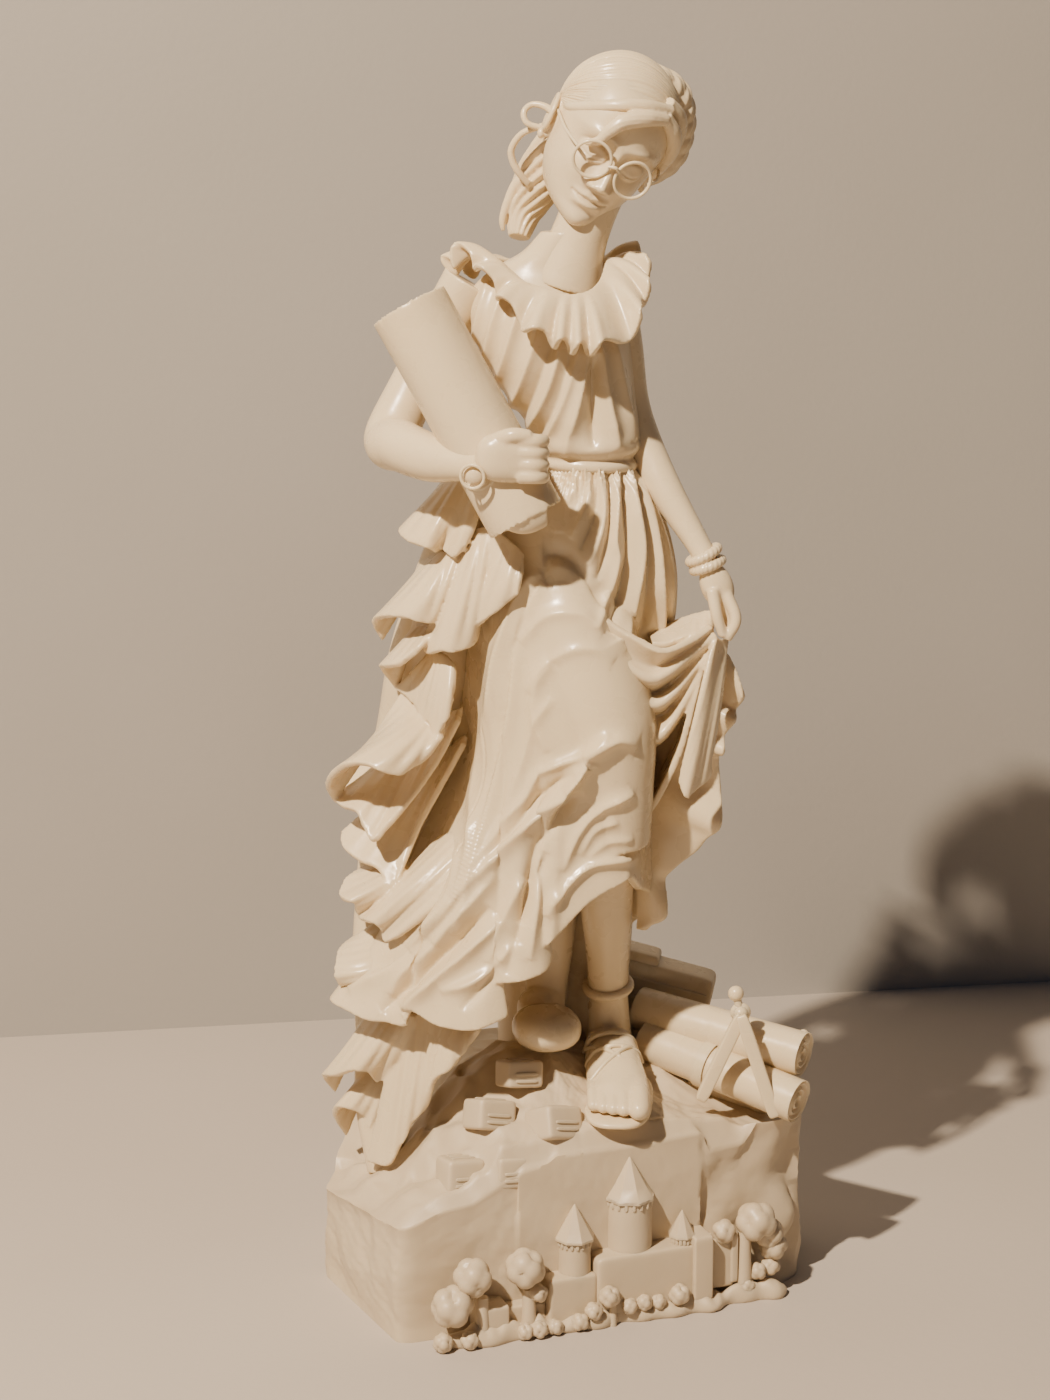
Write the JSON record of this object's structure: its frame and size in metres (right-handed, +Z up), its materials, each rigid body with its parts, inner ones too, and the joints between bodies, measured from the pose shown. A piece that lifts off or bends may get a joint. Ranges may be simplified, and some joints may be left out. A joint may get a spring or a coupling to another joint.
{
  "type": "allegorical statuette",
  "caption": "Cast resin statuette of a striding woman in a ruffled dress, with a drawing roll under one arm, on a rock plinth with a castle relief.",
  "frame": {"origin": "middle of the plinth's flat underside, where it rests on a table", "axes": "+Z up through the head, -Y toward the viewer who faces the figure's front, +X to that viewer's right"},
  "size_m": [0.1014, 0.0791, 0.2511],
  "materials": {
    "ivory_resin": "semi-gloss cast resin, warm ivory, slightly translucent"
  },
  "bodies": {
    "root": {"statuette": "ivory_resin"}
  },
  "joints": []
}
